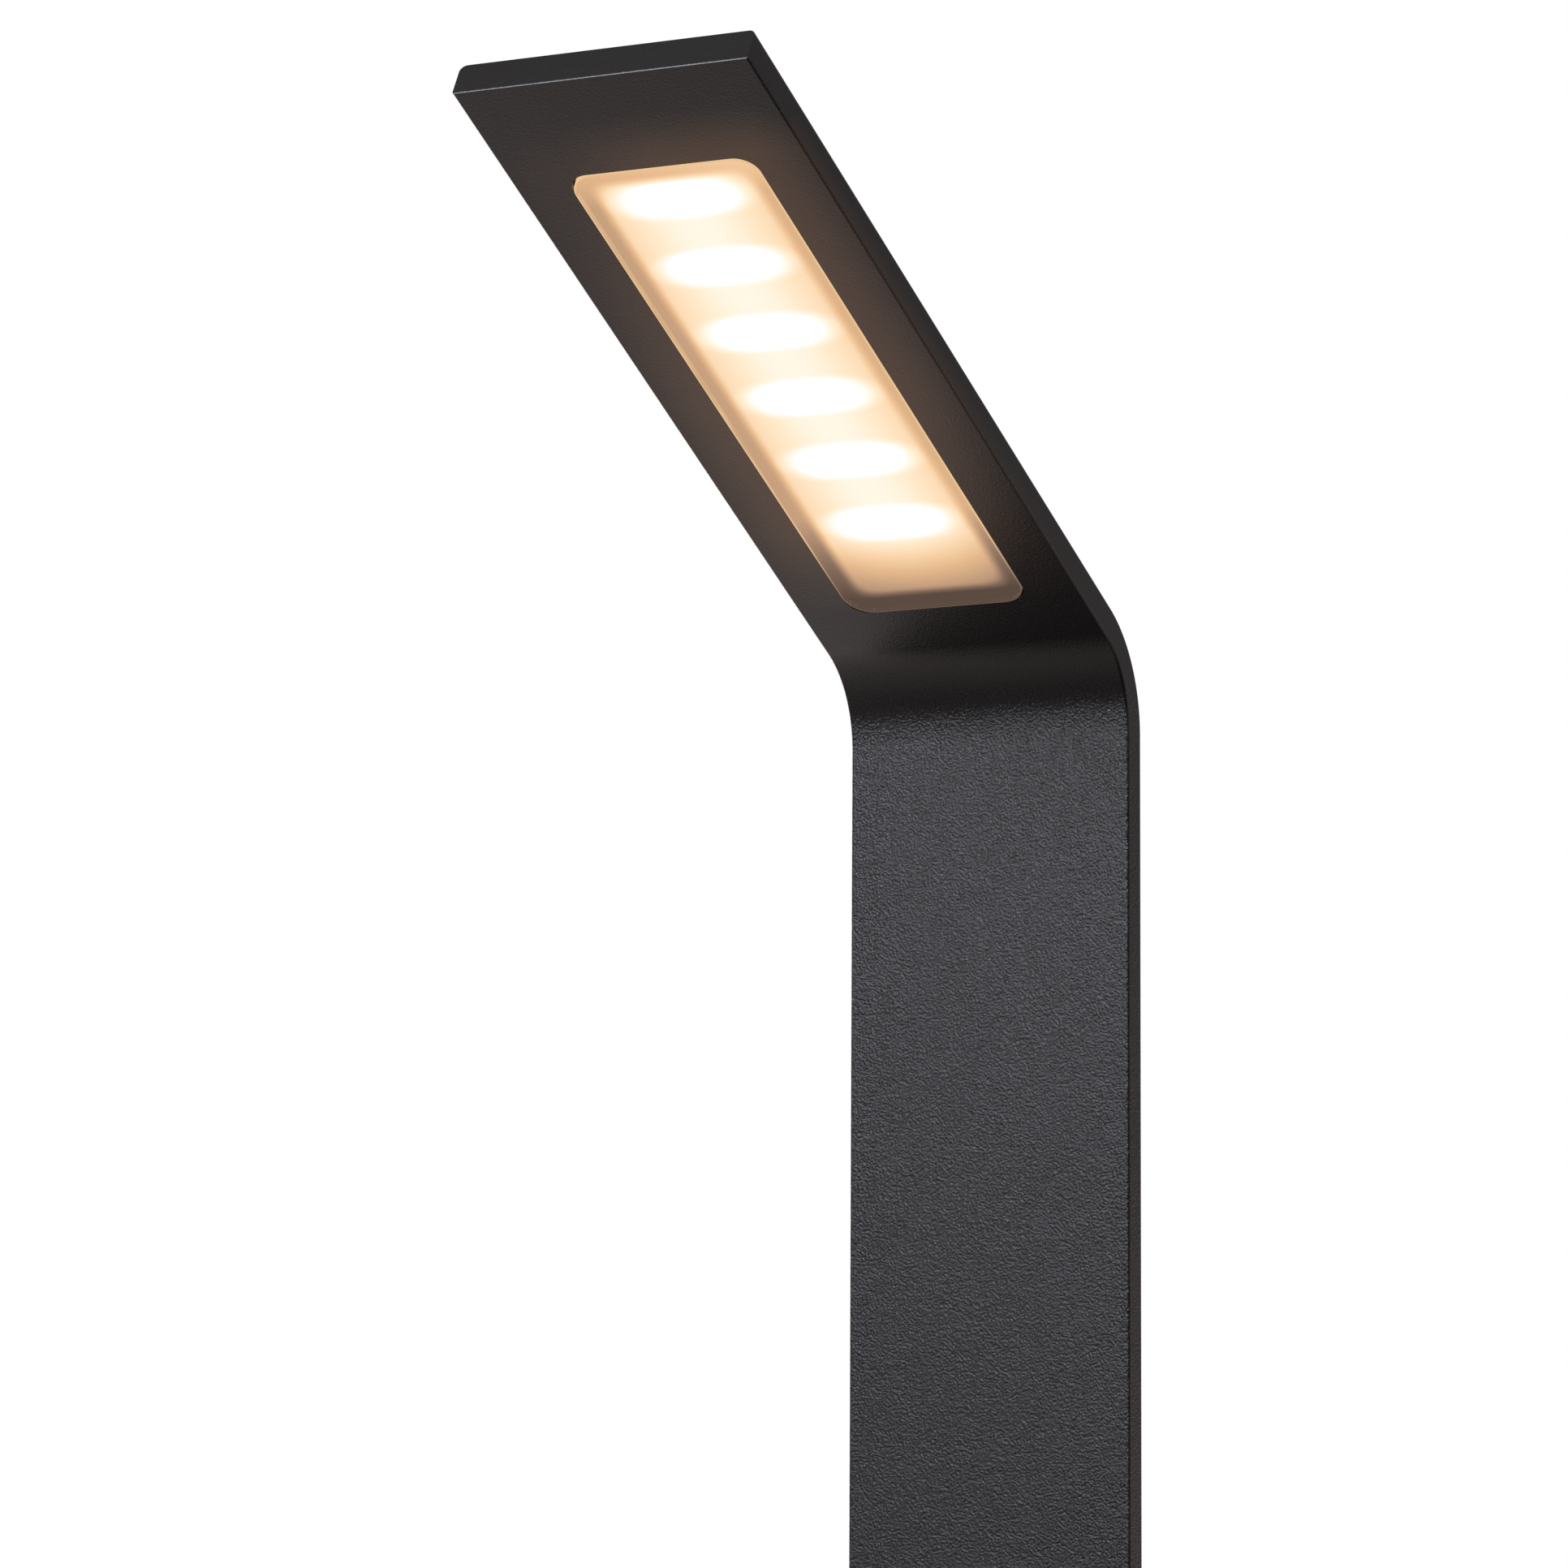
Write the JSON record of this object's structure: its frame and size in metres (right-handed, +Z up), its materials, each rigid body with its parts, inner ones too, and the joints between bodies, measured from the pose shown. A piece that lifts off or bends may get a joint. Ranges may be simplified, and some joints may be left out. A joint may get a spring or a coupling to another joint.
{
  "type": "bollard light",
  "caption": "Garden bollard light: flat hollow post bent once so that its head leans forward over an opal lens on the underside, on a square foot with a cable entry.",
  "frame": {"origin": "on the ground under the post's axis, at the middle of the ground plate's underside", "axes": "+Z up the post, +X across its flat face, and the head leans towards -Y, which is the front"},
  "size_m": [0.1254, 0.3061, 0.5],
  "materials": {
    "powder_coated_aluminium": "fine structured matt black powder coat on extruded aluminium",
    "powder_coated_casting": "fine structured matt black powder coat on cast aluminium",
    "opal_acrylic": "satin opal acrylic, lit warm white from behind",
    "silicone_rubber": "matt",
    "epdm_rubber": "matt",
    "white_polycarbonate": "matt white",
    "led_phosphor": "yellow silicone with phosphor",
    "white_led_board": "aluminium core with white solder mask",
    "thermal_pad": "soft grey",
    "red_wire": "PVC",
    "black_wire": "PVC",
    "brown_wire": "PVC",
    "blue_wire": "PVC",
    "earth_wire": "PVC, green and yellow",
    "zinc_plated_steel": "bright zinc plating",
    "black_steel": "black stainless steel",
    "galvanised_steel": "hot-dip galvanised",
    "driver_plastic": "moulded black plastic",
    "circuit_board": "green solder mask",
    "ferrite": "sintered ferrite",
    "capacitor_can": "aluminium can in a blue sleeve",
    "brass": "turned"
  },
  "bodies": {
    "root": {"post_profile": "powder_coated_aluminium", "head_end_cap": "powder_coated_aluminium", "end_cap_seal": "silicone_rubber", "lens": "opal_acrylic", "lens_gasket": "silicone_rubber", "reflector_tray": "white_polycarbonate", "led_chips": "led_phosphor", "led_board": "white_led_board", "board_connector": "white_polycarbonate", "thermal_pad": "thermal_pad", "led_lead_positive": "red_wire", "led_lead_negative": "black_wire", "post_gasket": "epdm_rubber", "post_root_fork": "zinc_plated_steel", "fork_screws": "zinc_plated_steel", "post_screws": "black_steel", "foot_housing": "powder_coated_casting", "foot_gasket": "epdm_rubber", "ground_plate": "galvanised_steel", "fixing_lugs": "galvanised_steel", "side_screws": "black_steel", "driver_case": "driver_plastic", "driver_lid": "driver_plastic", "driver_board": "circuit_board", "driver_connectors": "white_polycarbonate", "driver_transformer": "ferrite", "driver_capacitors": "capacitor_can", "driver_screws": "zinc_plated_steel", "terminal_block": "white_polycarbonate", "terminal_inserts": "brass", "terminal_screws": "zinc_plated_steel", "live_lead": "brown_wire", "neutral_lead": "blue_wire", "earth_lead": "earth_wire", "earth_ring": "brass", "earth_screw": "brass", "cable_grommet": "epdm_rubber", "cable_clamp": "galvanised_steel", "clamp_screws": "zinc_plated_steel"}
  },
  "joints": []
}
